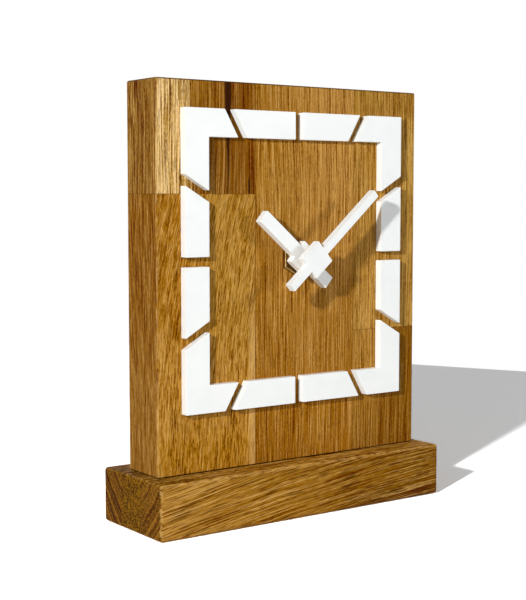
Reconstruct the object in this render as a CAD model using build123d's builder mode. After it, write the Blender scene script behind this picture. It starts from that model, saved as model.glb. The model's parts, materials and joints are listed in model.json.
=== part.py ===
from build123d import *
import os
from math import cos, radians, sin

# Wooden desk clock: an oak panel on an oak base, with a ring of white dial pieces, two hands and a quartz
# movement in a pocket in the back. Millimetres. X runs right as seen from the front, Y away from the viewer
# and Z up. The origin is the centre of the base's underside.

# Base and panel
base_width = 130
base_depth = 40
base_height = 20
base_edge = 0.8
panel_width = 120
panel_height = 140
panel_thickness = 20
panel_edge = 0.5

# Wood screws from the base into the panel; they and their holes are drawn with flats
screw_spacing = 70
screw_length = 38
screw_point = 4
screw_point_taper = 20
screw_head_radius = 4.0
screw_shank_radius = 2.0
screw_recess = 0.6
screw_clearance = 0.2
screw_sides = 24

# Dial ring
dial_width = 100
dial_height = 108
dial_band = 10
dial_gap = 3.5
dial_thickness = 3
dial_top_margin = 10
hours = 12

# Hands; the angles are where they point, anticlockwise from 3 o'clock
hand_thickness = 3.1
hand_plate = 9.6
hour_angle = 140
hour_reach = 25
hour_tail = 14.4
hour_hand_width = 5
minute_angle = 41
minute_reach = 37
minute_tail = 15.1
minute_hand_width = 3
minute_socket = 2.0
hour_standoff = 4
hand_spacing = 3.9

# Fits
running_clearance = 0.05
seat_clearance = 0.1
end_play = 0.2

# Clamping of the movement
pocket_front_wall = 4
pocket_clearance = 1
pocket_corner = 4
washer_thickness = 0.8
washer_radius = 8
washer_sides = 32
bush_radius = 4
bush_flange_radius = 5.8
bush_flange_sides = 8
bush_flange = 0.8
bush_hole_clearance = 0.2
bush_end = 0.8
nut_across_flats = 11
nut_thickness = 1.8
nut_chamfer = 0.3

# Movement shells
case_front_wall = 1.5
case_wall = 1.3
case_corner = 3
bay_wall = 1.0
bridge_thickness = 1.0
bridge_margin = 2.2
bridge_corner = 1.0
cover_gap = 0.3
cover_thickness = 1.2
post_radius = 1.3
post_sides = 6
peg_radius = 0.7
boss_wall = 0.4
pivot_depth = 1.0

# Wheels; the third wheel's distance from the hub sets the size of the whole train
third_distance = 9.0
rotor_distance = 7.0
wheel_thickness = 1.0
layer_gap = 0.5
arbor_radius = 0.5
minute_arbor_radius = 1.55
hour_tube_radius = 2.5
hour_tube_recess = 0.4
wheel_clearance = 0.4
train_margin = 2.4
hour_teeth = 32
minute_pinion_teeth = 8
cannon_teeth = 10
minute_teeth = 30
centre_teeth = 48
third_pinion_teeth = 6
third_teeth = 45
seconds_pinion_teeth = 6
seconds_teeth = 40
intermediate_pinion_teeth = 8
intermediate_teeth = 36
rotor_teeth = 6

# Teeth, in modules above and below the pitch circle and in shares of the tooth pitch
tooth_rise = 0.7
tooth_depth = 1.05
tooth_root_share = 0.60
tooth_tip_share = 0.25

# Hand setting
knob_radius = 5
knob_thickness = 3
knob_ribs = 20
knob_rib_depth = 0.4
knob_gap = 0.4

# Stepping motor
magnet_radius = 2.8
magnet_gap = 0.4
stator_rim = 0.55
stator_ear = 3.8
coil_length = 21.6
coil_flange = 0.8
coil_flange_size = 5.8
coil_winding_size = 5.2
coil_winding_corner = 0.9
coil_drum_size = 3.6
coil_gap = 0.9
core_thickness = 1.0
core_height = 2.6

# Electronics
board_height = 30
board_thickness = 1.0
board_post_inset = 4
crystal_radius = 1.0
crystal_length = 6
crystal_sides = 16
chip_radius = 2.2
chip_sides = 16
chip_height = 0.9

# Battery and its contacts
battery_length = 50.2
battery_radius = 7.1
battery_clearance = 0.3
nub_radius = 2.7
nub_length = 1.3
contact_thickness = 0.4
contact_width = 4
contact_reach = 5
contact_room = 1.6
notch_clearance = 0.3

# Depths along Y, from the front of the clock to the back
panel_front = -panel_thickness / 2
panel_back = panel_thickness / 2
hour_hand_back = panel_front - hour_standoff
hour_hand_front = hour_hand_back - hand_thickness
minute_hand_back = hour_hand_front - hand_spacing
nut_front = panel_front - nut_thickness
bush_front = nut_front - bush_end
pocket_floor = panel_front + pocket_front_wall
case_front = pocket_floor + washer_thickness
chamber_front = case_front + case_front_wall


def layer(index):
    """Front of a wheel layer; the layers are stacked from the chamber's front wall."""
    return chamber_front + layer_gap + index * (wheel_thickness + layer_gap)


layer_names = ["hour", "minute", "centre", "third", "seconds", "intermediate", "rotor"]
layer_front = {name: layer(index) for index, name in enumerate(layer_names)}
bridge_front = layer(len(layer_names))
bridge_back = bridge_front + bridge_thickness
cover_front = bridge_back + cover_gap
case_back = cover_front + cover_thickness
knob_front = case_back + knob_gap
knob_back = knob_front + knob_thickness

# Height of the hub, where the hands turn
hub_height = base_height + panel_height - dial_top_margin - dial_height / 2


def along(start, distance, angle):
    """The point at a distance and angle from another, as seen from the front."""
    return (start[0] + distance * cos(radians(angle)), start[1] + distance * sin(radians(angle)))


def module_for(distance, teeth, mating_teeth):
    """The module that lets two wheels mesh at a centre distance."""
    return 2 * distance / (teeth + mating_teeth)


def tip_radius(teeth, module):
    """Outside radius of a toothed wheel."""
    return module * (teeth / 2 + tooth_rise)


def mesh_turn(turn, teeth, mating_teeth, direction):
    """Turn of a wheel that meshes with one of a known turn lying in the opposite direction."""
    return direction + 180 - (turn - direction) * teeth / mating_teeth + 180 / mating_teeth


# Axes of the train, measured from the hub
minute_direction = 0
third_direction = 180
intermediate_direction = 90
rotor_direction = 60
hub = (0, 0)
minute_distance = third_distance + arbor_radius
intermediate_distance = third_distance + arbor_radius + seat_clearance
minute_axis = along(hub, minute_distance, minute_direction)
third_axis = along(hub, third_distance, third_direction)
intermediate_axis = along(hub, intermediate_distance, intermediate_direction)
rotor_axis = along(intermediate_axis, rotor_distance, rotor_direction)

hour_module = module_for(minute_distance, hour_teeth, minute_pinion_teeth)
minute_module = module_for(minute_distance, minute_teeth, cannon_teeth)
centre_module = module_for(third_distance, centre_teeth, third_pinion_teeth)
third_module = module_for(third_distance, third_teeth, seconds_pinion_teeth)
seconds_module = module_for(intermediate_distance, seconds_teeth, intermediate_pinion_teeth)
rotor_module = module_for(rotor_distance, intermediate_teeth, rotor_teeth)
third_tip = tip_radius(third_teeth, third_module)
minute_tip = tip_radius(minute_teeth, minute_module)
seconds_tip = tip_radius(seconds_teeth, seconds_module)

# Motor, above the train
stator_half_height = magnet_radius + magnet_gap + stator_rim
coil_axis = (rotor_axis[0], rotor_axis[1] + stator_half_height + coil_gap + coil_flange_size / 2)
ear_offset = coil_length / 2 + battery_clearance + stator_ear / 2
core_front = layer_front["rotor"] - core_thickness
core_half_length = ear_offset + stator_ear / 2
ear_points = [(coil_axis[0] - ear_offset, coil_axis[1]), (coil_axis[0] + ear_offset, coil_axis[1])]

# Inside faces of the movement case, measured from the hub
bay_top = -(seconds_tip + train_margin)
battery_height = bay_top - bay_wall - battery_clearance - battery_radius
inner_bottom = battery_height - battery_radius - battery_clearance
inner_top = coil_axis[1] + coil_flange_size / 2 + wheel_clearance
inner_half_width = battery_length / 2 + contact_room
inner_height = inner_top - inner_bottom
inner_middle = (inner_top + inner_bottom) / 2
case_width = 2 * (inner_half_width + case_wall)
case_height = inner_height + 2 * case_wall
battery_depth = chamber_front + battery_clearance + battery_radius

# Electronics beside the third wheel, and the strips that reach them
contact_x = inner_half_width - seat_clearance - contact_thickness / 2
strip_height = bay_top + seat_clearance + contact_thickness / 2
board_front = layer_front["seconds"]
board_back = board_front + board_thickness
board_left = -contact_x + contact_thickness / 2 + running_clearance
board_right = third_axis[0] - third_tip - 2 * wheel_clearance
board_bottom = strip_height + contact_thickness / 2 + running_clearance
board_middle = (board_left + board_right) / 2
board_posts = [
    (board_middle, board_bottom + board_post_inset),
    (board_middle, board_bottom + board_height - board_post_inset),
]
contact_back = (board_front + board_back) / 2 + contact_width / 2
battery_left = -contact_x + contact_thickness / 2 + running_clearance
battery_right = battery_left + battery_length

# Posts that carry the bridge, just outside the largest wheels
bridge_posts = [
    along(third_axis, third_tip + wheel_clearance + post_radius, 135),
    along(third_axis, third_tip + wheel_clearance + post_radius, 225),
    along(minute_axis, minute_tip + wheel_clearance + post_radius, 45),
    along(minute_axis, minute_tip + wheel_clearance + post_radius, -45),
]


def face_plane(depth):
    """Plane parallel to the clock's face, centred on the hub, looking at the viewer."""
    return Plane(origin=(0, depth, hub_height), x_dir=(1, 0, 0), z_dir=(0, -1, 0))


def disc(centre, radius, front, back, mode=Mode.ADD):
    """Round post, tube or hole between two depths."""
    with BuildSketch(face_plane(back)) as outline:
        with Locations(centre):
            Circle(radius)
    extrude(outline.sketch, amount=back - front, mode=mode)


def post(centre, radius, front, back, sides=post_sides, mode=Mode.ADD):
    """Post, peg or hole with flat sides between two depths."""
    with BuildSketch(face_plane(back)) as outline:
        with Locations(centre):
            RegularPolygon(radius, sides)
    extrude(outline.sketch, amount=back - front, mode=mode)


def ribbed_disc(centre, ribs, root, tip, turn, front, back):
    """Disc with straight-sided teeth or ribs, one of them pointing at the turn angle."""
    pitch = 360 / ribs
    points = []
    for index in range(ribs):
        middle = turn + index * pitch
        points.append(along(hub, root, middle - tooth_root_share * pitch / 2))
        points.append(along(hub, tip, middle - tooth_tip_share * pitch / 2))
        points.append(along(hub, tip, middle + tooth_tip_share * pitch / 2))
        points.append(along(hub, root, middle + tooth_root_share * pitch / 2))
    with BuildSketch(face_plane(back)) as outline:
        with Locations(centre):
            Polygon(*points)
    extrude(outline.sketch, amount=back - front)


def toothed_disc(centre, teeth, module, turn, front, back):
    """Wheel whose teeth are sized by its module."""
    root = module * (teeth / 2 - tooth_depth)
    ribbed_disc(centre, teeth, root, tip_radius(teeth, module), turn, front, back)


def pivot_boss(centre, radius, top):
    """Boss on the chamber's front wall with a blind pivot hole in its top."""
    post(centre, radius, chamber_front, top)
    disc(centre, arbor_radius + running_clearance, top - pivot_depth - end_play, top, Mode.SUBTRACT)


def finish(piece, name):
    """Label a finished piece and write it out."""
    piece.part.label = name
    export_step(piece.part, f"parts/{name}.step")


os.makedirs("parts", exist_ok=True)

# Base block with two countersunk screw holes
screw_places = [(-screw_spacing / 2, 0), (screw_spacing / 2, 0)]
sink_radius = screw_head_radius + screw_clearance + screw_recess
with BuildPart() as base_block:
    with BuildSketch():
        Rectangle(base_width, base_depth)
    extrude(amount=base_height)
    chamfer(base_block.edges(), base_edge)
    with BuildSketch() as hole:
        with Locations(*screw_places):
            RegularPolygon(screw_shank_radius + screw_clearance, screw_sides)
    extrude(hole.sketch, amount=base_height, mode=Mode.SUBTRACT)
    with BuildSketch() as sink:
        with Locations(*screw_places):
            RegularPolygon(sink_radius, screw_sides)
    extrude(sink.sketch, amount=sink_radius - screw_shank_radius, taper=45, mode=Mode.SUBTRACT)
finish(base_block, "base_block")

# Wood screws
screw_tip = screw_recess + screw_length
with BuildPart() as base_screws:
    with BuildSketch(Plane.XY.offset(screw_recess)) as head:
        with Locations(*screw_places):
            RegularPolygon(screw_head_radius, screw_sides)
    extrude(head.sketch, amount=screw_head_radius - screw_shank_radius, taper=45)
    with BuildSketch(Plane.XY.offset(screw_recess)) as shank:
        with Locations(*screw_places):
            RegularPolygon(screw_shank_radius, screw_sides)
    extrude(shank.sketch, amount=screw_length - screw_point)
    with BuildSketch(Plane.XY.offset(screw_tip - screw_point)) as point:
        with Locations(*screw_places):
            RegularPolygon(screw_shank_radius, screw_sides)
    extrude(point.sketch, amount=screw_point, taper=screw_point_taper)
finish(base_screws, "base_screws")

# Panel with the movement's pocket, the bush hole and the screws' pilot holes
with BuildPart() as clock_panel:
    with BuildSketch(Plane.XY.offset(base_height)):
        Rectangle(panel_width, panel_thickness)
    extrude(amount=panel_height)
    chamfer(clock_panel.edges(), panel_edge)
    with BuildSketch(face_plane(panel_back)):
        with Locations((0, inner_middle)):
            RectangleRounded(
                case_width + 2 * pocket_clearance, case_height + 2 * pocket_clearance, pocket_corner
            )
    extrude(amount=panel_back - pocket_floor, mode=Mode.SUBTRACT)
    disc(hub, bush_radius + bush_hole_clearance, panel_front, pocket_floor, Mode.SUBTRACT)
    with BuildSketch(Plane.XY.offset(base_height)):
        with Locations(*screw_places):
            RegularPolygon(screw_shank_radius + running_clearance, screw_sides)
    extrude(amount=screw_tip - base_height + end_play, mode=Mode.SUBTRACT)
finish(clock_panel, "clock_panel")

# Dial ring, cut along the hour lines into twelve pieces
hour_step = 360 / hours
for hour in range(hours):
    middle = 90 - hour_step * (hour + 0.5)
    apex = along(hub, dial_gap / 2 / sin(radians(hour_step / 2)), middle)
    far = dial_width + dial_height
    with BuildPart() as dial_piece:
        with BuildSketch(face_plane(panel_front)):
            Rectangle(dial_width, dial_height)
            Rectangle(dial_width - 2 * dial_band, dial_height - 2 * dial_band, mode=Mode.SUBTRACT)
            Polygon(
                apex,
                along(apex, far, middle - hour_step / 2),
                along(apex, far, middle + hour_step / 2),
                mode=Mode.INTERSECT,
            )
        extrude(amount=dial_thickness)
    finish(dial_piece, f"dial_{hour or hours}_to_{hour + 1}")


def hand_plane(depth, angle):
    """Plane parallel to the face at a depth, with its X along a hand."""
    direction = (cos(radians(angle)), 0, sin(radians(angle)))
    return Plane(origin=(0, depth, hub_height), x_dir=direction, z_dir=(0, -1, 0))


# Hour hand, pushed on to the hour tube
with BuildPart() as hour_hand:
    with BuildSketch(hand_plane(hour_hand_back, hour_angle)):
        with Locations(((hour_reach - hour_tail) / 2, 0)):
            Rectangle(hour_reach + hour_tail, hour_hand_width)
        Rectangle(hand_plate, hand_plate)
        Circle(hour_tube_radius + running_clearance, mode=Mode.SUBTRACT)
    extrude(amount=hand_thickness)
finish(hour_hand, "hour_hand")

# Minute hand, with a blind socket for the minute arbor
with BuildPart() as minute_hand:
    with BuildSketch(hand_plane(minute_hand_back, minute_angle)):
        with Locations(((minute_reach - minute_tail) / 2, 0)):
            Rectangle(minute_reach + minute_tail, minute_hand_width)
        Rectangle(hand_plate, hand_plate)
    extrude(amount=hand_thickness)
    disc(
        hub,
        minute_arbor_radius + running_clearance,
        minute_hand_back - minute_socket,
        minute_hand_back,
        Mode.SUBTRACT,
    )
finish(minute_hand, "minute_hand")

# Nut on the front of the panel
with BuildPart() as hex_nut:
    with BuildSketch(face_plane(panel_front)):
        RegularPolygon(nut_across_flats / 2, 6, major_radius=False, rotation=30)
    extrude(amount=nut_thickness)
    chamfer(hex_nut.faces().sort_by(Axis.Y)[0].edges(), nut_chamfer)
    disc(hub, bush_radius + running_clearance, nut_front, panel_front, Mode.SUBTRACT)
finish(hex_nut, "hex_nut")

# Threaded bush, with an eight-sided flange let into the case's front wall so that it can't turn
with BuildPart() as threaded_bush:
    disc(hub, bush_radius, bush_front, chamber_front)
    post(hub, bush_flange_radius, chamber_front - bush_flange, chamber_front, bush_flange_sides)
    disc(hub, hour_tube_radius + running_clearance, bush_front, chamber_front, Mode.SUBTRACT)
finish(threaded_bush, "threaded_bush")

# Rubber washer between the case and the pocket's floor
with BuildPart() as rubber_washer:
    post(hub, washer_radius, pocket_floor, case_front, washer_sides)
    post(hub, bush_radius + 2 * seat_clearance, pocket_floor, case_front, washer_sides, Mode.SUBTRACT)
finish(rubber_washer, "rubber_washer")

# Movement case: a tray with a battery bay below and the wheel chamber above
pivot_top = {
    "third": layer_front["centre"] - layer_gap / 2,
    "intermediate": layer_front["seconds"] - layer_gap / 2,
    "rotor": layer_front["intermediate"] - layer_gap / 2,
}
pivot_radius = arbor_radius + running_clearance + boss_wall
with BuildPart() as movement_case:
    with BuildSketch(face_plane(case_back)):
        with Locations((0, inner_middle)):
            RectangleRounded(case_width, case_height, case_corner)
    extrude(amount=case_back - case_front)
    with BuildSketch(face_plane(case_back)):
        with Locations((0, inner_middle)):
            Rectangle(2 * inner_half_width, inner_height)
    extrude(amount=case_back - chamber_front, mode=Mode.SUBTRACT)
    with BuildSketch(face_plane(case_back)):
        with Locations((0, bay_top - bay_wall / 2)):
            Rectangle(2 * inner_half_width, bay_wall)
    extrude(amount=case_back - chamber_front)
    with BuildSketch(face_plane(case_back)):
        with Locations((0, bay_top - bay_wall)):
            Rectangle(2 * case_width, 2 * case_height, align=(Align.CENTER, Align.MIN))
    extrude(amount=cover_thickness, mode=Mode.SUBTRACT)
    with BuildSketch(face_plane(contact_back + notch_clearance)):
        with Locations((contact_x, bay_top - bay_wall / 2), (-contact_x, bay_top - bay_wall / 2)):
            Rectangle(contact_thickness + 2 * seat_clearance, bay_wall)
    extrude(amount=contact_width + 2 * notch_clearance, mode=Mode.SUBTRACT)
    for point in bridge_posts:
        post(point, post_radius, chamber_front, bridge_front)
        post(point, peg_radius, bridge_front, bridge_back)
    for point in ear_points:
        post(point, post_radius, chamber_front, core_front)
        post(point, peg_radius, core_front, layer_front["rotor"] + wheel_thickness)
    for point in board_posts:
        post(point, post_radius, chamber_front, board_front)
        post(point, peg_radius, board_front, board_back)
    pivot_boss(third_axis, pivot_radius, pivot_top["third"])
    pivot_boss(intermediate_axis, pivot_radius, pivot_top["intermediate"])
    pivot_boss(rotor_axis, post_radius, pivot_top["rotor"])
    disc(
        minute_axis,
        arbor_radius + running_clearance,
        chamber_front - pivot_depth,
        chamber_front,
        Mode.SUBTRACT,
    )
    disc(hub, bush_radius + running_clearance, case_front, chamber_front, Mode.SUBTRACT)
    post(
        hub,
        bush_flange_radius + running_clearance,
        chamber_front - bush_flange,
        chamber_front,
        bush_flange_sides,
        Mode.SUBTRACT,
    )
finish(movement_case, "movement_case")

# Cover over the wheel chamber, resting on the case's walls; the battery bay stays open
with BuildPart() as movement_cover:
    with BuildSketch(face_plane(case_back)):
        with Locations((0, inner_middle)):
            RectangleRounded(case_width, case_height, case_corner)
        with Locations((0, bay_top - bay_wall + seat_clearance)):
            Rectangle(
                2 * case_width, 2 * case_height, align=(Align.CENTER, Align.MIN), mode=Mode.INTERSECT
            )
        with Locations(minute_axis):
            Circle(arbor_radius + running_clearance, mode=Mode.SUBTRACT)
    extrude(amount=cover_thickness)
finish(movement_cover, "movement_cover")

# Bridge that carries the rear pivots, with a tongue up to the rotor
bridge_left = bridge_posts[0][0] - bridge_margin
bridge_right = bridge_posts[2][0] + bridge_margin
bridge_bottom = bridge_posts[1][1] - bridge_margin
bridge_top = bridge_posts[0][1] + bridge_margin
rear_pivots = [hub, third_axis, minute_axis, intermediate_axis, rotor_axis]
tongue_left = intermediate_axis[0] - bridge_margin
tongue_right = rotor_axis[0] + bridge_margin
tongue_top = rotor_axis[1] + bridge_margin
with BuildPart() as gear_bridge:
    with BuildSketch(face_plane(bridge_back)) as outline:
        with Locations(((bridge_left + bridge_right) / 2, (bridge_bottom + bridge_top) / 2)):
            Rectangle(bridge_right - bridge_left, bridge_top - bridge_bottom)
        with Locations(((tongue_left + tongue_right) / 2, tongue_top / 2)):
            Rectangle(tongue_right - tongue_left, tongue_top)
        chamfer(outline.vertices(), bridge_corner)
        with Locations(*rear_pivots):
            Circle(arbor_radius + running_clearance, mode=Mode.SUBTRACT)
        with Locations(*bridge_posts):
            RegularPolygon(peg_radius + running_clearance, post_sides, mode=Mode.SUBTRACT)
    extrude(amount=bridge_thickness)
finish(gear_bridge, "gear_bridge")


def layer_span(name):
    """Front and back of a wheel layer."""
    return (layer_front[name], layer_front[name] + wheel_thickness)


# Hour wheel and the tube that carries the hour hand
with BuildPart() as hour_wheel:
    toothed_disc(hub, hour_teeth, hour_module, 0, *layer_span("hour"))
    disc(hub, hour_tube_radius, hour_hand_front + hour_tube_recess, layer_front["hour"])
    disc(
        hub,
        minute_arbor_radius + running_clearance,
        hour_hand_front + hour_tube_recess,
        layer_front["hour"] + wheel_thickness,
        Mode.SUBTRACT,
    )
finish(hour_wheel, "hour_wheel")

# Minute arbor with the cannon pinion; the seconds wheel's front pivot runs in its rear end
arbor_back = layer_front["centre"] + wheel_thickness + end_play
seconds_front = layer_front["minute"]
with BuildPart() as minute_arbor:
    disc(hub, minute_arbor_radius, minute_hand_back - minute_socket + end_play, arbor_back)
    toothed_disc(hub, cannon_teeth, minute_module, 0, *layer_span("minute"))
    disc(hub, arbor_radius + running_clearance, seconds_front - end_play, arbor_back, Mode.SUBTRACT)
finish(minute_arbor, "minute_arbor")

# Minute wheel with its pinion, on the shaft of the setting knob
with BuildPart() as minute_wheel:
    toothed_disc(
        minute_axis,
        minute_pinion_teeth,
        hour_module,
        mesh_turn(0, hour_teeth, minute_pinion_teeth, minute_direction),
        layer_front["hour"],
        layer_front["minute"],
    )
    toothed_disc(
        minute_axis,
        minute_teeth,
        minute_module,
        mesh_turn(0, cannon_teeth, minute_teeth, minute_direction),
        *layer_span("minute"),
    )
    disc(minute_axis, arbor_radius, chamber_front - pivot_depth + end_play, layer_front["hour"])
    disc(minute_axis, arbor_radius, layer_front["minute"] + wheel_thickness, knob_back - knob_gap)
finish(minute_wheel, "minute_wheel")

# Setting knob with a ribbed rim
with BuildPart() as set_knob:
    ribbed_disc(
        minute_axis, knob_ribs, knob_radius - knob_rib_depth, knob_radius, 0, knob_front, knob_back
    )
    disc(minute_axis, arbor_radius + running_clearance, knob_front, knob_back - knob_gap, Mode.SUBTRACT)
finish(set_knob, "set_knob")

# Centre wheel, free on the minute arbor as in a friction clutch
with BuildPart() as centre_wheel:
    toothed_disc(hub, centre_teeth, centre_module, 0, *layer_span("centre"))
    disc(hub, minute_arbor_radius + running_clearance, *layer_span("centre"), Mode.SUBTRACT)
finish(centre_wheel, "centre_wheel")

# Third wheel
with BuildPart() as third_wheel:
    toothed_disc(
        third_axis,
        third_pinion_teeth,
        centre_module,
        mesh_turn(0, centre_teeth, third_pinion_teeth, third_direction),
        layer_front["centre"],
        layer_front["third"],
    )
    toothed_disc(
        third_axis,
        third_teeth,
        third_module,
        mesh_turn(0, seconds_pinion_teeth, third_teeth, third_direction),
        *layer_span("third"),
    )
    disc(third_axis, arbor_radius, pivot_top["third"] - pivot_depth, layer_front["centre"])
    disc(third_axis, arbor_radius, layer_front["third"] + wheel_thickness, bridge_back)
finish(third_wheel, "third_wheel")

# Seconds wheel
with BuildPart() as seconds_wheel:
    toothed_disc(
        hub, seconds_pinion_teeth, third_module, 0, layer_front["third"], layer_front["seconds"]
    )
    toothed_disc(hub, seconds_teeth, seconds_module, 0, *layer_span("seconds"))
    disc(hub, arbor_radius, seconds_front, layer_front["third"])
    disc(hub, arbor_radius, layer_front["seconds"] + wheel_thickness, bridge_back)
finish(seconds_wheel, "seconds_wheel")

# Intermediate wheel
with BuildPart() as intermediate_wheel:
    toothed_disc(
        intermediate_axis,
        intermediate_pinion_teeth,
        seconds_module,
        mesh_turn(0, seconds_teeth, intermediate_pinion_teeth, intermediate_direction),
        layer_front["seconds"],
        layer_front["intermediate"],
    )
    toothed_disc(intermediate_axis, intermediate_teeth, rotor_module, 0, *layer_span("intermediate"))
    disc(intermediate_axis, arbor_radius, pivot_top["intermediate"] - pivot_depth, layer_front["seconds"])
    disc(intermediate_axis, arbor_radius, layer_front["intermediate"] + wheel_thickness, bridge_back)
finish(intermediate_wheel, "intermediate_wheel")

# Rotor: a pinion on its arbor, and the magnet pressed on behind it
with BuildPart() as rotor_pinion:
    toothed_disc(
        rotor_axis,
        rotor_teeth,
        rotor_module,
        mesh_turn(0, intermediate_teeth, rotor_teeth, rotor_direction),
        *layer_span("intermediate"),
    )
    disc(rotor_axis, arbor_radius, pivot_top["rotor"] - pivot_depth, layer_front["intermediate"])
    disc(rotor_axis, arbor_radius, layer_front["intermediate"] + wheel_thickness, bridge_back)
finish(rotor_pinion, "rotor_pinion")

with BuildPart() as rotor_magnet:
    disc(rotor_axis, magnet_radius, *layer_span("rotor"))
    disc(rotor_axis, arbor_radius + running_clearance, *layer_span("rotor"), Mode.SUBTRACT)
finish(rotor_magnet, "rotor_magnet")

# Stator: a bar with the rotor's hole, and an ear up to each end of the coil core
with BuildPart() as stator:
    with BuildSketch(face_plane(layer_front["rotor"] + wheel_thickness)):
        with Locations(rotor_axis):
            Rectangle(2 * core_half_length, 2 * stator_half_height)
        with Locations(*[(x, rotor_axis[1] - stator_half_height) for x, _ in ear_points]):
            Rectangle(
                stator_ear,
                coil_axis[1] - rotor_axis[1] + stator_half_height + core_height / 2,
                align=(Align.CENTER, Align.MIN),
            )
        with Locations(rotor_axis):
            Circle(magnet_radius + magnet_gap, mode=Mode.SUBTRACT)
        with Locations(*ear_points):
            RegularPolygon(peg_radius + running_clearance, post_sides, mode=Mode.SUBTRACT)
    extrude(amount=wheel_thickness)
finish(stator, "stator")

# Coil core, lying on the stator's ears
with BuildPart() as coil_core:
    with BuildSketch(face_plane(core_front + core_thickness)):
        with Locations(coil_axis):
            Rectangle(2 * core_half_length, core_height)
        with Locations(*ear_points):
            RegularPolygon(peg_radius + running_clearance, post_sides, mode=Mode.SUBTRACT)
    extrude(amount=core_thickness)
finish(coil_core, "coil_core")


def coil_plane(offset):
    """Plane across the coil, at an offset along it from the middle."""
    middle = (coil_axis[0] + offset, core_front + core_thickness / 2, hub_height + coil_axis[1])
    return Plane(origin=middle, x_dir=(0, 1, 0), z_dir=(1, 0, 0))


# Coil bobbin: a drum with two flanges and a slot for the core
with BuildPart() as coil_bobbin:
    with BuildSketch(coil_plane(-coil_length / 2)):
        Rectangle(coil_drum_size, coil_drum_size)
    extrude(amount=coil_length)
    for offset in (-coil_length / 2, coil_length / 2 - coil_flange):
        with BuildSketch(coil_plane(offset)):
            Rectangle(coil_flange_size, coil_flange_size)
        extrude(amount=coil_flange)
    with BuildSketch(coil_plane(-coil_length / 2)):
        Rectangle(core_thickness + 2 * running_clearance, core_height + 2 * running_clearance)
    extrude(amount=coil_length, mode=Mode.SUBTRACT)
finish(coil_bobbin, "coil_bobbin")

# Copper winding between the flanges
winding_length = coil_length - 2 * coil_flange - 2 * running_clearance
with BuildPart() as coil_winding:
    with BuildSketch(coil_plane(-winding_length / 2)) as outline:
        Rectangle(coil_winding_size, coil_winding_size)
        chamfer(outline.vertices(), coil_winding_corner)
        Rectangle(
            coil_drum_size + 2 * running_clearance,
            coil_drum_size + 2 * running_clearance,
            mode=Mode.SUBTRACT,
        )
    extrude(amount=winding_length)
finish(coil_winding, "coil_winding")

# Circuit board on two posts, between the positive strip and the third wheel
with BuildPart() as circuit_board:
    with BuildSketch(face_plane(board_back)):
        with Locations((board_middle, board_bottom)):
            Rectangle(board_right - board_left, board_height, align=(Align.CENTER, Align.MIN))
        with Locations(*board_posts):
            RegularPolygon(peg_radius + running_clearance, post_sides, mode=Mode.SUBTRACT)
    extrude(amount=board_thickness)
finish(circuit_board, "circuit_board")

# Crystal can lying on the back of the board, and the chip's blob of resin
board_centre = board_bottom + board_height / 2
crystal_centre = (board_middle, board_back + crystal_radius, hub_height + board_centre)
with BuildPart() as quartz_crystal:
    with BuildSketch(Plane(origin=crystal_centre)):
        RegularPolygon(crystal_radius, crystal_sides, rotation=360 / crystal_sides / 2, major_radius=False)
    extrude(amount=crystal_length)
finish(quartz_crystal, "quartz_crystal")

chip_point = (board_middle, board_centre - crystal_length)
with BuildPart() as chip_blob:
    with BuildSketch(face_plane(board_back + chip_height)):
        with Locations(chip_point):
            RegularPolygon(chip_radius, chip_sides)
    extrude(amount=chip_height)
    chamfer(chip_blob.faces().sort_by(Axis.Y)[-1].edges(), chip_height / 2)
finish(chip_blob, "chip_blob")

# Positive contact: a strip up the side wall from the battery to the board
contact_foot = battery_height - contact_reach
with BuildPart() as positive_contact:
    with BuildSketch(face_plane(contact_back)):
        with Locations((-contact_x, contact_foot)):
            Rectangle(
                contact_thickness,
                board_bottom + contact_reach - contact_foot,
                align=(Align.CENTER, Align.MIN),
            )
    extrude(amount=contact_width)
finish(positive_contact, "positive_contact")

# Negative contact: a leaf against the battery's end, then a strip along the bay wall to the board
leaf_tip = battery_right + running_clearance + contact_thickness
with BuildPart() as negative_contact:
    with BuildSketch(face_plane(contact_back)):
        with BuildLine():
            Polyline(
                (contact_x - contact_thickness, battery_height + contact_reach),
                (leaf_tip, battery_height),
                (contact_x, contact_foot),
                (contact_x, strip_height),
                (board_right, strip_height),
            )
        trace(line_width=contact_thickness)
    extrude(amount=contact_width)
finish(negative_contact, "negative_contact")

# Battery, with its positive nub to the left
with BuildPart() as battery:
    axis_point = (0, battery_depth, hub_height + battery_height)
    with BuildSketch(Plane(origin=axis_point, x_dir=(1, 0, 0), z_dir=(0, -1, 0))) as profile:
        Polygon(
            (battery_left, 0),
            (battery_left, nub_radius),
            (battery_left + nub_length, nub_radius),
            (battery_left + nub_length, battery_radius),
            (battery_right, battery_radius),
            (battery_right, 0),
        )
    revolve(profile.sketch, axis=Axis(axis_point, (1, 0, 0)))
finish(battery, "battery")
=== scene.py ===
import json
import math

import bmesh
import bpy
from mathutils import Matrix, Vector


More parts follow.
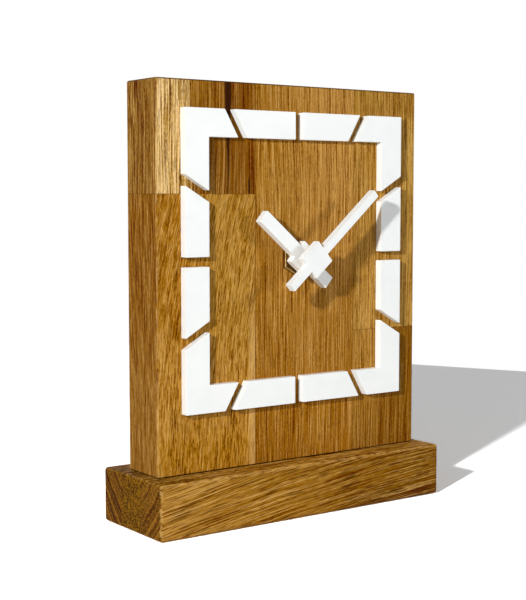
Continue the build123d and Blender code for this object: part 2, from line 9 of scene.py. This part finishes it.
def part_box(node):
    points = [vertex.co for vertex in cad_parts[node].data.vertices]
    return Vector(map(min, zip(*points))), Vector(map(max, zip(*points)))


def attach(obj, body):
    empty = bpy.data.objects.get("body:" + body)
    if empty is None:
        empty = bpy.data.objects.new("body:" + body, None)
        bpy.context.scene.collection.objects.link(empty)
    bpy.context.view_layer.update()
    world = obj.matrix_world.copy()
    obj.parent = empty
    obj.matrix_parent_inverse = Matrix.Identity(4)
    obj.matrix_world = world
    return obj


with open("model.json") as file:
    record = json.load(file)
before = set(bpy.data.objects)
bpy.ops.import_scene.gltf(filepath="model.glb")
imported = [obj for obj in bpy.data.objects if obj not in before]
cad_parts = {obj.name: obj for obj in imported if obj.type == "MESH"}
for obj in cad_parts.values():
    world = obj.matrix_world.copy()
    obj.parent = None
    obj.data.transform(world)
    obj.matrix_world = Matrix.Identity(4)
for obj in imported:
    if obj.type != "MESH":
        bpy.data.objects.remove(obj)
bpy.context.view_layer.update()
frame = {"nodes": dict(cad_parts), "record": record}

# Wooden desk clock. The frame is in metres; the materials work in millimetres of it.
nodes = frame["nodes"]
scene = bpy.context.scene
MM = 1000.0
WHITE = (1.0, 1.0, 1.0, 1.0)


def srgb(red, green, blue):
    """Linear colour from display values of 0 to 255."""
    def linear(value):
        value /= 255
        return value / 12.92 if value <= 0.04045 else ((value + 0.055) / 1.055) ** 2.4
    return (linear(red), linear(green), linear(blue), 1.0)


class Wire:
    """A number in a material's graph that arithmetic can be written with."""

    def __init__(self, graph, socket):
        self.graph = graph
        self.socket = socket

    def __add__(self, other):
        return self.graph.math("ADD", self, other)

    def __sub__(self, other):
        return self.graph.math("SUBTRACT", self, other)

    def __rsub__(self, other):
        return self.graph.math("SUBTRACT", other, self)

    def __mul__(self, other):
        return self.graph.math("MULTIPLY", self, other)

    def __truediv__(self, other):
        return self.graph.math("DIVIDE", self, other)

    __radd__ = __add__
    __rmul__ = __mul__

    def above(self, other):
        return self.graph.math("GREATER_THAN", self, other)

    def below(self, other):
        return self.graph.math("LESS_THAN", self, other)

    def size(self):
        return self.graph.math("ABSOLUTE", self)

    def power(self, exponent):
        return self.graph.math("POWER", self, exponent)

    def sine(self):
        return self.graph.math("SINE", self)

    def rise(self, low, high, start=0.0, end=1.0):
        """Smooth step from start at low to end at high."""
        node = self.graph.add("MapRange", interpolation_type="SMOOTHSTEP")
        for socket, value in zip(node.inputs, (self, low, high, start, end)):
            self.graph.put(value, socket)
        return Wire(self.graph, node.outputs[0])


class Graph:
    """A material's nodes, with a short call for each kind used here."""

    def __init__(self, name, **constants):
        self.material = bpy.data.materials.new(name)
        self.material.use_nodes = True
        self.nodes = self.material.node_tree.nodes
        self.links = self.material.node_tree.links
        self.shader = self.nodes["Principled BSDF"]
        for key, value in constants.items():
            self.shader.inputs[key.replace("_", " ").title().replace("Ior", "IOR")].default_value = value

    def put(self, value, socket):
        if isinstance(value, Wire):
            value = value.socket
        if isinstance(value, bpy.types.NodeSocket):
            self.links.new(value, socket)
        else:
            socket.default_value = value

    def add(self, kind, inputs=None, **settings):
        node = self.nodes.new("ShaderNode" + kind)
        for key, value in settings.items():
            setattr(node, key, value)
        for key, value in (inputs or {}).items():
            self.put(value, node.inputs[key])
        return node

    def math(self, operation, *values):
        node = self.add("Math", operation=operation)
        for value, socket in zip(values, node.inputs):
            self.put(value, socket)
        return Wire(self, node.outputs[0])

    def place(self):
        """X, Y and Z of the surface in millimetres of the frame."""
        coordinates = self.add("TexCoord").outputs["Object"]
        parts = self.add("SeparateXYZ", {0: coordinates})
        return [Wire(self, output) * MM for output in parts.outputs]

    def normal(self):
        """X, Y and Z of the face's own normal."""
        parts = self.add("SeparateXYZ", {0: self.add("NewGeometry").outputs["True Normal"]})
        return [Wire(self, output) for output in parts.outputs]

    def vector(self, *values):
        node = self.add("CombineXYZ")
        for value, socket in zip(values, node.inputs):
            self.put(value, socket)
        return node.outputs[0]

    def noise(self, u, v, w, detail=2.0):
        inputs = {"Vector": self.vector(u, v, w), "Scale": 1.0, "Detail": detail, "Roughness": 0.5}
        return Wire(self, self.add("TexNoise", inputs).outputs[0])

    def mix(self, factor, first, second, blend="MIX"):
        """Colour between two colours, or the first less a share of the second."""
        node = self.add("Mix", data_type="RGBA", blend_type=blend, clamp_result=blend == "SUBTRACT")
        self.put(factor, node.inputs[0])
        self.put(first, node.inputs[6])
        self.put(second, node.inputs[7])
        return node.outputs[2]

    def bump(self, height, distance):
        inputs = {"Height": height, "Distance": distance, "Strength": 1.0}
        self.put(self.add("Bump", inputs).outputs[0], self.shader.inputs["Normal"])

    def surface(self, colour, roughness):
        self.put(colour, self.shader.inputs["Base Color"])
        self.put(roughness, self.shader.inputs["Roughness"])
        return self.material


# Oak: what the grain's dark and pale lines tend to, and the blue and green that the dark ones also lose
OAK_DARK = srgb(74, 6, 0)
OAK_LOSS = (0.0, 0.013, 0.031, 1.0)
OAK_PALE = srgb(240, 192, 112)


def grained(g, colour, tone, dark, pale):
    """Wood of a mean colour, darker where the tone is under a half and paler where it is over."""
    shade = tone.rise(0.5, 0.0) * dark
    colour = g.mix(shade, g.mix(shade, colour, OAK_DARK), OAK_LOSS, "SUBTRACT")
    return g.mix(tone.rise(0.5, 1.0) * pale, colour, OAK_PALE)


# Oak panel, glued up from staves with butt joints; places in millimetres
JOINT_LEFT = -18.0
JOINT_RIGHT = 28.4
BUTT_LEFT = 120.0
BUTT_RIGHT = 67.4
PANEL_FOOT = 20.0
STREAK_X = -29.9
HALO_X = -26.0
DASH_X = -20.7


def panel_oak():
    g = Graph("panel_oak", specular_ior_level=0.02)
    x, y, z = g.place()
    nx, ny, nz = g.normal()
    left = x.below(JOINT_LEFT)
    right = x.above(JOINT_RIGHT)
    left_upper = left * z.above(BUTT_LEFT)
    left_lower = left - left_upper
    right_lower = right * z.below(BUTT_RIGHT)
    side = nx.size().rise(0.6, 0.8)
    front = 1.0 - side
    end = nz.size().rise(0.45, 0.75)
    edge = (nx * ny).size().rise(0.2, 0.4)

    # each stave has its own piece of grain; the lower left one leans, more so towards its top
    wander = (g.noise(x * 0.03, y * 0.03, z * 0.012, 1.0) - 0.5) * 5.0
    wander = wander + (g.noise(x * 0.25, y * 0.25, z * 0.04, 1.0) - 0.5) * 0.8
    lean = left_lower * front * (z * 0.06 + (z - PANEL_FOOT).power(3.0) * 0.000008)
    lean = lean + left_lower * side * (y - z * 0.06) * -1.0
    across = x + wander - lean + left_upper * 57.0 + right * 83.0 + right_lower * 23.0 + left_lower * 11.0
    deep = y + wander * side + right * 31.0 + left * 17.0
    along = z + left_upper * 310.0 + right * 520.0 + right_lower * 140.0

    fine = g.noise(across * 2.3, deep * 2.0, along * 0.04, 1.0).rise(0.38, 0.62)
    lines = g.noise(across * 1.4, deep * 1.2, along * 0.018, 1.5).rise(0.34, 0.66)
    broad = g.noise(across * 0.14, deep * 0.14, along * 0.008, 1.5).rise(0.34, 0.66)
    grit = g.noise(across * 2.4, deep * 2.0, along * 0.8, 1.0).rise(0.34, 0.66)
    pores = g.noise(across * 2.5, deep * 2.2, along * 0.2, 1.0).rise(0.56, 0.63)
    flecks = g.noise(across * 2.2, deep * 1.8, along * 0.24, 1.0).rise(0.40, 0.60)

    # mean colour of each stave
    middle = g.mix(x.rise(-18.0, 28.0), srgb(170, 118, 38), srgb(193, 140, 66))
    middle = g.mix(z.rise(130.0, 60.0), middle, srgb(164, 110, 32))
    middle = g.mix(z.rise(60.0, 24.0), middle, srgb(161, 105, 17))
    lower_left = g.mix(x.rise(-50.0, -36.0), srgb(168, 114, 29), srgb(175, 126, 43))
    lower_left = g.mix(z.rise(80.0, 55.0), lower_left, srgb(184, 131, 50))
    lower_left = g.mix(z.rise(42.0, 26.0), lower_left, srgb(180, 125, 30))
    cream = (x + broad * 5.0 + lines * 3.0).rise(-38.0, -48.0)
    upper_left = g.mix(x.rise(-40.0, -30.0), srgb(149, 99, 17), srgb(138, 85, 5))
    upper_left = g.mix(x.rise(-29.0, -32.0) * z.rise(150.0, 140.0) * 0.6, upper_left, srgb(118, 70, 0))
    upper_left = g.mix(cream, upper_left, srgb(202, 158, 80))
    upper_right = g.mix(x.rise(46.0, 55.0), srgb(178, 130, 54), srgb(190, 144, 66))
    upper_right = g.mix(x.rise(50.0, 56.0) * z.rise(104.0, 122.0), upper_right, srgb(206, 160, 78))
    upper_right = g.mix(z.rise(148.0, 154.0), upper_right, srgb(174, 127, 48))
    lower_right = g.mix(x.rise(30.0, 54.0), srgb(184, 134, 58), srgb(133, 85, 0))
    lower_right = g.mix(z.rise(50.0, 36.0) * 0.5, lower_right, srgb(142, 92, 0))
    flank = g.mix(z.rise(110.0, 40.0), srgb(135, 85, 5), srgb(154, 106, 37))
    flank = g.mix(z.above(BUTT_LEFT), flank, srgb(149, 106, 43))
    mean = g.mix(left_lower, middle, lower_left)
    mean = g.mix(left_upper, mean, upper_left)
    mean = g.mix(right, mean, upper_right)
    mean = g.mix(right_lower, mean, lower_right)
    mean = g.mix(side, mean, flank)

    short = left_lower * front
    tone = fine * (0.47 - short * 0.32) + lines * (0.24 - short * 0.1) + broad * 0.12 + grit * 0.17
    tone = tone + short * (1.0 - flecks) * 0.42
    strong = left_upper * (cream * front + side)
    brown = left_upper * front * (1.0 - cream)
    colour = grained(g, mean, tone, strong * 0.25 + 0.9, 0.5 - brown * 0.15 - right_lower * front * 0.2)
    colour = g.mix(left_upper * cream * front * tone.rise(0.48, 0.7) * 0.8, colour, srgb(255, 220, 162))
    pale = left_lower * front * (x + lines * 0.5).rise(-21.2, -19.6) * z.rise(88.0, 60.0, 0.05, 0.6)
    colour = g.mix(pale, colour, srgb(222, 176, 104))
    marks = pores * (0.4 + strong * 0.1)
    colour = g.mix(marks, colour, srgb(84, 42, 0))

    # dark streak down the upper left stave, and a short one by the joint
    streak_width = z.rise(130.0, 158.0, 0.35, 1.6)
    streak_line = (x - STREAK_X + (g.noise(z * 0.09, 3.0, 0.0) - 0.5) * 1.6).size()
    streak = left_upper * streak_line.rise(streak_width * 0.6, streak_width + 0.4, 1.0, 0.0)
    streak = streak * z.rise(120.0, 136.0, 0.55, 1.0)
    halo = left_upper * (x - HALO_X).size().rise(1.0, 8.0, 1.0, 0.0) * 0.12
    colour = g.mix(halo, colour, srgb(84, 40, 0))
    dash = left_upper * (x - DASH_X).size().rise(0.2, 0.8, 1.0, 0.0) * z.rise(124.0, 127.0, 1.0, 0.0)
    colour = g.mix(streak * 0.95 + dash * 0.8, colour, srgb(46, 16, 3))

    # glue lines, end grain, a painted highlight along the upright edges and painted shade where the panel meets
    # the base
    seam = (x - JOINT_LEFT).size().rise(0.08, 0.25, 1.0, 0.0)
    seam = seam + (x - JOINT_RIGHT).size().rise(0.08, 0.25, 1.0, 0.0)
    seam = seam + left * (z - BUTT_LEFT).size().rise(0.08, 0.3, 1.0, 0.0)
    seam = seam + right * (z - BUTT_RIGHT).size().rise(0.08, 0.3, 1.0, 0.0)
    colour = g.mix(seam * 0.35, colour, srgb(82, 44, 4))
    colour = g.mix(end * 0.75, colour, srgb(72, 42, 8))
    # painted highlight along the upright edges, broken up along their height
    edge_highlight = edge * g.noise(z * 0.3, y, 7.0, 2.0).rise(0.3, 0.7)
    colour = g.mix(edge_highlight * 0.25, colour, srgb(236, 200, 134))
    colour = g.mix(z.rise(PANEL_FOOT + 0.2, PANEL_FOOT + 0.8, 0.85, 0.0), colour, srgb(46, 18, 4))
    g.bump(fine * 0.6 - marks, 0.00005)
    return g.surface(colour, 0.5 + fine * 0.1 + marks * 0.2)


def base_oak():
    g = Graph("base_oak", specular_ior_level=0.02)
    x, y, z = g.place()
    nx, ny, nz = g.normal()
    end = nx.size().rise(0.6, 0.8)
    edge = (nx * ny).size().rise(0.2, 0.4)
    top = nz.rise(0.6, 0.9)

    # the grain climbs to the right, less so at the right end
    climb = x * 0.13 - x * x * 0.0005
    height = z - climb + (g.noise(x * 0.03, y * 0.05, z * 0.06, 1.0) - 0.5) * 1.4
    fine = g.noise(x * 0.03, y * 2.0, height * 2.3, 1.0).rise(0.40, 0.60)
    lines = g.noise(x * 0.016, y * 1.1, height * 1.1, 1.5).rise(0.34, 0.66)
    broad = g.noise(x * 0.012, y * 0.2, height * 0.26, 1.5).rise(0.34, 0.66)
    grit = g.noise(x * 0.3, y * 2.2, height * 2.4, 1.0).rise(0.34, 0.66)
    pores = g.noise(x * 0.08, y * 2.2, height * 2.5, 1.0).rise(0.56, 0.61)

    mean = g.mix(x.rise(-64.0, -30.0), srgb(182, 132, 54), srgb(163, 113, 31))
    mean = g.mix(x.rise(-10.0, 60.0), mean, srgb(138, 92, 12))
    mean = g.mix(x.rise(0.0, 40.0) * z.rise(9.0, 2.0) * 0.7, mean, srgb(100, 62, 2))

    # the upper face is darker at the left end, and has coarser streaks
    mean = g.mix(top, mean, g.mix(x.rise(-50.0, -25.0), srgb(152, 108, 24), srgb(178, 126, 36)))
    mean = g.mix(top * x.rise(-56.0, -62.0) * y.rise(-8.0, 6.0) * 0.7, mean, srgb(84, 52, 4))
    tone = fine * 0.46 + lines * 0.26 + broad * 0.08 + grit * 0.2
    streaks = g.noise(x * 0.03, y * 0.6, 11.0, 1.0).rise(0.36, 0.64)
    tone = tone + top * (streaks - 0.5) * 0.5
    colour = grained(g, mean, tone, 0.9, 0.5)
    colour = g.mix(pores * 0.65, colour, srgb(66, 30, 0))

    # end grain: rings lean in from the back and the front towards the middle, with specks between
    ring = ((y + 0.9).power(2.0) + 16.0).power(0.5) * 0.79 - z * 0.62
    ring = ring + (g.noise(y * 0.1, z * 0.1, 2.0, 2.0) - 0.5) * 2.5
    rings = g.noise(ring * 0.6, 5.0, 0.0, 1.0).rise(0.44, 0.56)
    specks = g.noise(x * 0.05, y * 1.2, z * 1.4, 1.0).rise(0.36, 0.64)
    thin = g.noise(ring * 0.9, 9.0, 0.0, 1.0).rise(0.56, 0.62)
    back = y.rise(4.0, 9.0)
    fore = y.rise(-5.0, -10.0)
    end_colour = g.mix(specks * 0.85 + broad * 0.15, srgb(62, 34, 0), srgb(147, 100, 14))
    end_colour = g.mix(back * rings * 0.8, end_colour, srgb(52, 10, 0))
    end_colour = g.mix(back * (1.0 - rings) * 0.25, end_colour, srgb(160, 100, 30))
    end_colour = g.mix(fore * rings * 0.55, end_colour, srgb(62, 14, 0))
    end_colour = g.mix(fore * (1.0 - rings) * 0.3, end_colour, srgb(166, 112, 40))
    end_colour = g.mix((back + fore) * thin * 0.6, end_colour, srgb(200, 142, 54))
    colour = g.mix(end, colour, end_colour)

    # painted highlights on the edges: the front's upper one, and the upright ones
    front_top_highlight = (ny * nz).rise(-0.2, -0.4) * g.noise(x * 0.4, 3.0, 0.0, 2.0).rise(0.3, 0.7, 0.1, 0.5)
    colour = g.mix(front_top_highlight, colour, srgb(214, 168, 98))
    # painted highlight along the upright edges, broken up along their height
    edge_highlight = edge * g.noise(z * 0.7, y, 3.0, 2.0).rise(0.45, 0.65)
    colour = g.mix(edge_highlight * 0.4, colour, srgb(226, 184, 116))
    g.bump(fine * 0.6 - pores, 0.00006)
    return g.surface(colour, 0.5 + fine * 0.1 + pores * 0.2)


def moulded(name, first, second, grain, roughness, bump=0.00002, **constants):
    """Plastic, rubber or metal with a slight mottle and a fine surface texture."""
    g = Graph(name, **constants)
    x, y, z = g.place()
    mottle = g.noise(x * 0.12, y * 0.12, z * 0.12, 3.0).rise(0.3, 0.7)
    texture = g.noise(x / grain, y / grain, z / grain, 2.0)
    colour = g.mix(mottle * 0.7 + texture * 0.3, first, second)
    g.bump(texture, bump)
    return g.surface(colour, texture * 0.16 + (roughness - 0.08))


# Lengths along the battery, the wire's pitch and the height of the hands' axis, in millimetres
BAND_LENGTH = 16.0
CAP_LENGTH = 1.7
RIM_LENGTH = 0.6
WIRE_PITCH = 0.25
HUB_HEIGHT = 96.0


def battery_jacket():
    """Plain dark film with a coppery band at the positive end, and bare steel ends."""
    g = Graph("battery_jacket")
    x, y, z = g.place()
    low, high = (corner.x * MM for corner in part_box("battery"))
    facing_x = g.normal()[0].size()
    wear = g.noise(x * 0.4, y * 0.4, z * 0.4, 3.0)
    band = x.below(low + BAND_LENGTH)
    ends = x.below(low + CAP_LENGTH) + x.above(high - RIM_LENGTH) + facing_x.above(0.6)
    steel = ends.rise(0.2, 0.8)
    dark_film = g.mix(wear, srgb(28, 29, 31), srgb(44, 45, 47))
    coppery_film = g.mix(wear, srgb(176, 112, 58), srgb(206, 146, 86))
    bare = g.mix(wear, srgb(170, 170, 168), srgb(206, 206, 204))
    colour = g.mix(steel, g.mix(band, dark_film, coppery_film), bare)
    g.put(steel * 0.9 + band * (1.0 - steel) * 0.5, g.shader.inputs["Metallic"])
    return g.surface(colour, wear * 0.2 + 0.2)


def copper():
    """Enamelled wire wound in close turns."""
    g = Graph("copper", metallic=0.9)
    x, y, z = g.place()
    turns = (x * (2.0 * math.pi / WIRE_PITCH)).sine() * 0.5 + 0.5
    stain = g.noise(x * 0.5, y * 0.5, z * 0.5, 2.0)
    colour = g.mix(turns * 0.5 + stain * 0.5, srgb(140, 66, 28), srgb(214, 132, 78))
    g.bump(turns, 0.00004)
    return g.surface(colour, stain * 0.2 + 0.25)


def brass():
    """Turned brass with fine rings about the hub."""
    g = Graph("brass", metallic=1.0)
    x, y, z = g.place()
    radius = (x.power(2.0) + (z - HUB_HEIGHT).power(2.0)).power(0.5)
    rings = g.noise(radius * 6.0, y * 4.0, 0.0, 2.0)
    tarnish = g.noise(x * 0.3, y * 0.3, z * 0.3, 3.0).rise(0.3, 0.7)
    g.bump(rings, 0.00002)
    return g.surface(g.mix(tarnish, srgb(120, 96, 56), srgb(172, 142, 88)), rings * 0.25 + 0.25)


materials = {
    "panel_oak": panel_oak(),
    "base_oak": base_oak(),
    "white_plastic": moulded("white_plastic", srgb(245, 249, 247), srgb(252, 254, 253), 0.35, 0.42, 0.000012),
    "zinc_screw": moulded("zinc_screw", srgb(168, 160, 140), srgb(200, 196, 182), 0.4, 0.35, metallic=1.0),
    "brass": brass(),
    "black_rubber": moulded("black_rubber", srgb(30, 30, 30), srgb(44, 44, 43), 0.5, 0.75),
    "black_plastic": moulded("black_plastic", srgb(34, 34, 36), srgb(46, 46, 48), 0.45, 0.5, 0.00004),
    "white_wheel": moulded("white_wheel", srgb(224, 221, 208), srgb(240, 238, 228), 0.4, 0.4),
    "red_wheel": moulded("red_wheel", srgb(160, 42, 34), srgb(188, 58, 48), 0.4, 0.4),
    "motor_steel": moulded("motor_steel", srgb(150, 152, 156), srgb(182, 184, 188), 0.5, 0.35, metallic=1.0),
    "copper": copper(),
    "board_green": moulded("board_green", srgb(22, 92, 48), srgb(36, 120, 64), 0.8, 0.3),
    "black_resin": moulded("black_resin", srgb(20, 20, 20), srgb(34, 34, 34), 0.6, 0.25),
    "contact_steel": moulded("contact_steel", srgb(186, 184, 178), srgb(214, 212, 206), 0.4, 0.3, metallic=1.0),
    "battery_jacket": battery_jacket(),
}
for row in frame["record"]["subparts"]:
    mesh = nodes[row["node"]].data
    mesh.materials.clear()
    mesh.materials.append(materials[row["material_slot"]])


def soften(node, width):
    """Ease the sharp edges of a node, with its flat faces kept flat."""
    weld = node.modifiers.new("weld", "WELD")
    weld.merge_threshold = 1e-6
    bevel = node.modifiers.new("edges", "BEVEL")
    bevel.width = width
    bevel.segments = 2
    bevel.limit_method = "ANGLE"
    bevel.angle_limit = math.radians(30.0)
    bevel.use_clamp_overlap = True
    normals = node.modifiers.new("normals", "WEIGHTED_NORMAL")
    normals.weight = 100


# Widths of the eased edges, in metres
DIAL_EDGE = 0.0002
EDGES = {
    "base_block": 0.0004, "clock_panel": 0.0003, "hour_hand": 0.0002, "minute_hand": 0.0002, "hex_nut": 0.00015,
    "movement_cover": 0.0003, "set_knob": 0.0002, "battery": 0.0002, "base_screws": 0.0002,
}
for name, node in nodes.items():
    if name.startswith("dial_"):
        soften(node, DIAL_EDGE)
    elif name in EDGES:
        soften(node, EDGES[name])


# Raised marks moulded on the movement's cover: the battery's poles, and the ways the knob turns; in millimetres
COVER_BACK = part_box("movement_cover")[1].y * MM
knob_low, knob_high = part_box("set_knob")
KNOB_X = (knob_low.x + knob_high.x) * (0.5 * MM)
KNOB_Z = (knob_low.z + knob_high.z) * (0.5 * MM)
MARK_SUNK = 0.1
MARK_HIGH = 0.4
POLE_Z = 87.6
POLE_X = 22.0
POLE_REACH = 1.6
POLE_HALF = 0.35
ARROW_INNER = 7.4
ARROW_OUTER = 8.1
HEAD_INNER = 6.8
HEAD_OUTER = 8.7
TIP_RADIUS = 7.75
TIP_ANGLE = 16.0
ARROW_STEPS = 12


def raised(name, outline):
    """Flat mark on the cover with an outline in X and Z."""
    count = len(outline)
    depths = (COVER_BACK - MARK_SUNK, COVER_BACK + MARK_HIGH)
    points = [(x / MM, y / MM, z / MM) for y in depths for x, z in outline]
    faces = [tuple(range(count)), tuple(range(count, 2 * count))]
    for i in range(count):
        j = (i + 1) % count
        faces.append((i, j, count + j, count + i))
    mesh = bpy.data.meshes.new(name)
    mesh.from_pydata(points, [], faces)
    shape = bmesh.new()
    shape.from_mesh(mesh)
    bmesh.ops.recalc_face_normals(shape, faces=shape.faces)
    shape.to_mesh(mesh)
    shape.free()
    mesh.materials.append(materials["black_plastic"])
    piece = bpy.data.objects.new(name, mesh)
    scene.collection.objects.link(piece)
    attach(piece, "clock")


def turned(radius, angle):
    """Point about the knob's axis, with the angle in degrees."""
    angle = math.radians(angle)
    return (KNOB_X + radius * math.cos(angle), KNOB_Z + radius * math.sin(angle))


minus = [(-POLE_REACH, -POLE_HALF), (POLE_REACH, -POLE_HALF), (POLE_REACH, POLE_HALF), (-POLE_REACH, POLE_HALF)]
arm = [(POLE_HALF, POLE_REACH), (-POLE_HALF, POLE_REACH), (-POLE_HALF, POLE_HALF)]
plus = []
for quarter in range(4):
    for x, z in arm:
        for _ in range(quarter):
            x, z = -z, x
        plus.append((x, z))
raised("minus_mark", [(POLE_X + x, POLE_Z + z) for x, z in minus])
raised("plus_mark", [(x - POLE_X, POLE_Z + z) for x, z in plus])
for name, start, end in (("left_arrow", 120.0, 180.0), ("right_arrow", 60.0, 0.0)):
    sweep = [start + (end - start) * step / ARROW_STEPS for step in range(ARROW_STEPS + 1)]
    beyond = end + math.copysign(TIP_ANGLE, end - start)
    outline = [turned(ARROW_INNER, angle) for angle in sweep]
    outline += [turned(HEAD_INNER, end), turned(TIP_RADIUS, beyond), turned(HEAD_OUTER, end)]
    outline += [turned(ARROW_OUTER, angle) for angle in reversed(sweep)]
    raised(name, outline)


# Floor: white to the eye, with the object's shadow kept; its bounce is that of a pale table top. It ends in a
# straight line behind the clock, and is no larger than it stays white.
FLOOR_SEEN = (2.4, 2.4, 2.4, 1.0)
FLOOR_BOUNCE = (0.8, 0.8, 0.8, 1.0)
FLOOR_EDGE = Vector((0.345, 0.252, -0.0002))
FLOOR_ALONG = Vector((0.449, -0.893, 0.0))
FLOOR_AWAY = Vector((0.893, 0.449, 0.0))
FLOOR_FRONT = 0.9
FLOOR_BACK = 0.42
FLOOR_DEPTH = 1.0


def floor_material():
    g = Graph("pale_floor")
    paths = g.add("LightPath")
    seen = [Wire(g, paths.outputs[key]) for key in ("Is Camera Ray", "Is Glossy Ray", "Is Transmission Ray")]
    seen = (seen[0] + seen[1] + seen[2]).above(0.5)
    diffuse = g.add("BsdfDiffuse", {"Color": g.mix(seen, FLOOR_BOUNCE, FLOOR_SEEN)})
    g.links.new(diffuse.outputs[0], g.nodes["Material Output"].inputs["Surface"])
    return g.material


floor_mesh = bpy.data.meshes.new("floor")
corners = [FLOOR_EDGE + FLOOR_ALONG * FLOOR_FRONT, FLOOR_EDGE - FLOOR_ALONG * FLOOR_BACK]
corners += [corners[1] - FLOOR_AWAY * FLOOR_DEPTH, corners[0] - FLOOR_AWAY * FLOOR_DEPTH]
floor_mesh.from_pydata(corners, [], [(0, 1, 2, 3)])
floor_mesh.materials.append(floor_material())
floor = bpy.data.objects.new("floor", floor_mesh)
scene.collection.objects.link(floor)

# World: white where it is seen, a soft fill elsewhere
WORLD_FILL = 0.09
world = bpy.data.worlds.new("studio")
world.use_nodes = True
scene.world = world
tree = world.node_tree
tree.nodes["Background"].inputs["Color"].default_value = WHITE
tree.nodes["Background"].inputs["Strength"].default_value = WORLD_FILL
seen_sky = tree.nodes.new("ShaderNodeBackground")
seen_sky.inputs["Color"].default_value = WHITE
seen_sky.inputs["Strength"].default_value = 1.0
paths = tree.nodes.new("ShaderNodeLightPath")
either = tree.nodes.new("ShaderNodeMath")
either.operation = "ADD"
tree.links.new(paths.outputs["Is Camera Ray"], either.inputs[0])
tree.links.new(paths.outputs["Is Glossy Ray"], either.inputs[1])
any_seen = tree.nodes.new("ShaderNodeMath")
any_seen.operation = "ADD"
any_seen.use_clamp = True
tree.links.new(either.outputs[0], any_seen.inputs[0])
tree.links.new(paths.outputs["Is Transmission Ray"], any_seen.inputs[1])
blend = tree.nodes.new("ShaderNodeMixShader")
tree.links.new(any_seen.outputs[0], blend.inputs[0])
tree.links.new(tree.nodes["Background"].outputs[0], blend.inputs[1])
tree.links.new(seen_sky.outputs[0], blend.inputs[2])
tree.links.new(blend.outputs[0], tree.nodes["World Output"].inputs["Surface"])

# Key light, near and low on the left, of the same strength at any distance
KEY_PLACE = Vector((-0.399, -0.2445, 0.2304))
KEY_POWER = 37.0
KEY_RADIUS = 0.012
key_lamp = bpy.data.lights.new("key", "POINT")
key_lamp.energy = KEY_POWER
key_lamp.shadow_soft_size = KEY_RADIUS
key_lamp.use_nodes = True
key_tree = key_lamp.node_tree
even = key_tree.nodes.new("ShaderNodeLightFalloff")
even.inputs["Strength"].default_value = 1.0
key_tree.links.new(even.outputs["Constant"], key_tree.nodes["Emission"].inputs["Strength"])
key = bpy.data.objects.new("key", key_lamp)
key.location = KEY_PLACE
scene.collection.objects.link(key)


def disk_lamp(name, place, aim, size, power):
    lamp = bpy.data.lights.new(name, "AREA")
    lamp.shape = "DISK"
    lamp.size = size
    lamp.energy = power
    holder = bpy.data.objects.new(name, lamp)
    holder.location = place
    holder.rotation_euler = (aim - place).to_track_quat("-Z", "Y").to_euler()
    scene.collection.objects.link(holder)


# Weaker fill from the front right
FILL_PLACE = Vector((0.75, -1.01, 0.446))
FILL_AIM = Vector((0.0, -0.01, 0.096))
FILL_SIZE = 0.15
FILL_POWER = 4.2
disk_lamp("fill", FILL_PLACE, FILL_AIM, FILL_SIZE, FILL_POWER)

# Weak light on the back, so low that it adds little to the floor
BACK_PLACE = Vector((0.2, 1.1, 0.08))
BACK_AIM = Vector((0.0, 0.01, 0.09))
BACK_SIZE = 0.12
BACK_POWER = 4.0
disk_lamp("rear", BACK_PLACE, BACK_AIM, BACK_SIZE, BACK_POWER)

# Camera, as in the photograph
CAMERA_PLACE = Vector((-0.2890, -0.3907, 0.1187))
CAMERA_YAW = math.radians(35.79)
CAMERA_PITCH = math.radians(-4.58)
CAMERA_LENS = 76.76
CAMERA_SENSOR = 36.0
CAMERA_NEAR = 0.01
camera_data = bpy.data.cameras.new("camera")
camera_data.lens = CAMERA_LENS
camera_data.sensor_width = CAMERA_SENSOR
camera_data.clip_start = CAMERA_NEAR
camera = bpy.data.objects.new("camera", camera_data)
ahead = Vector((
    math.sin(CAMERA_YAW) * math.cos(CAMERA_PITCH),
    math.cos(CAMERA_YAW) * math.cos(CAMERA_PITCH),
    math.sin(CAMERA_PITCH),
))
across = Vector((math.cos(CAMERA_YAW), -math.sin(CAMERA_YAW), 0.0))
upward = across.cross(ahead)
turn = Matrix((across, upward, -ahead)).transposed().to_4x4()
camera.matrix_world = Matrix.Translation(CAMERA_PLACE) @ turn
scene.collection.objects.link(camera)
scene.camera = camera

scene.view_settings.view_transform = "Standard"
